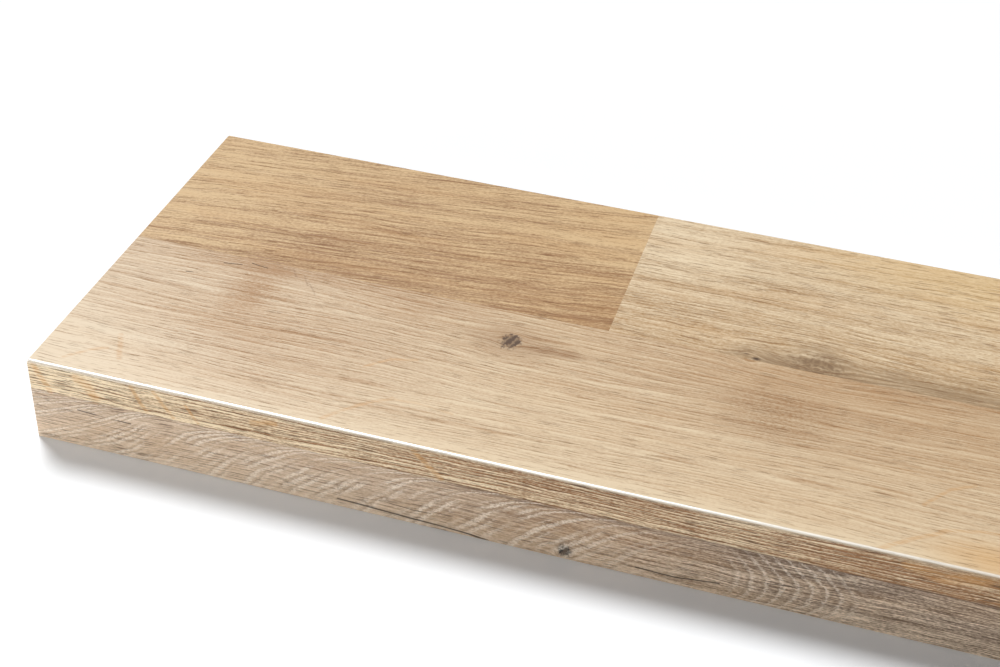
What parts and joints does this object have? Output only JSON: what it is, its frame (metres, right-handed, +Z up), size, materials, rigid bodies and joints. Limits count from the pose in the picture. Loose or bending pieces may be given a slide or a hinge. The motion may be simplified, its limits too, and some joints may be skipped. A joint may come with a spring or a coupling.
{
  "type": "oak worktop",
  "caption": "Flat rectangular oak board with a softly rounded front edge and square sawn ends, lying flat, for a worktop, shelf or sill.",
  "frame": {"origin": "middle of the underside, on the floor that the board lies on", "axes": "+X along the board, +Y from its front edge to its rear edge, +Z up through its thickness"},
  "size_m": [1, 0.2, 0.04],
  "materials": {
    "oak": "clear satin gloss lacquer"
  },
  "bodies": {
    "root": {"worktop": "oak"}
  },
  "joints": []
}
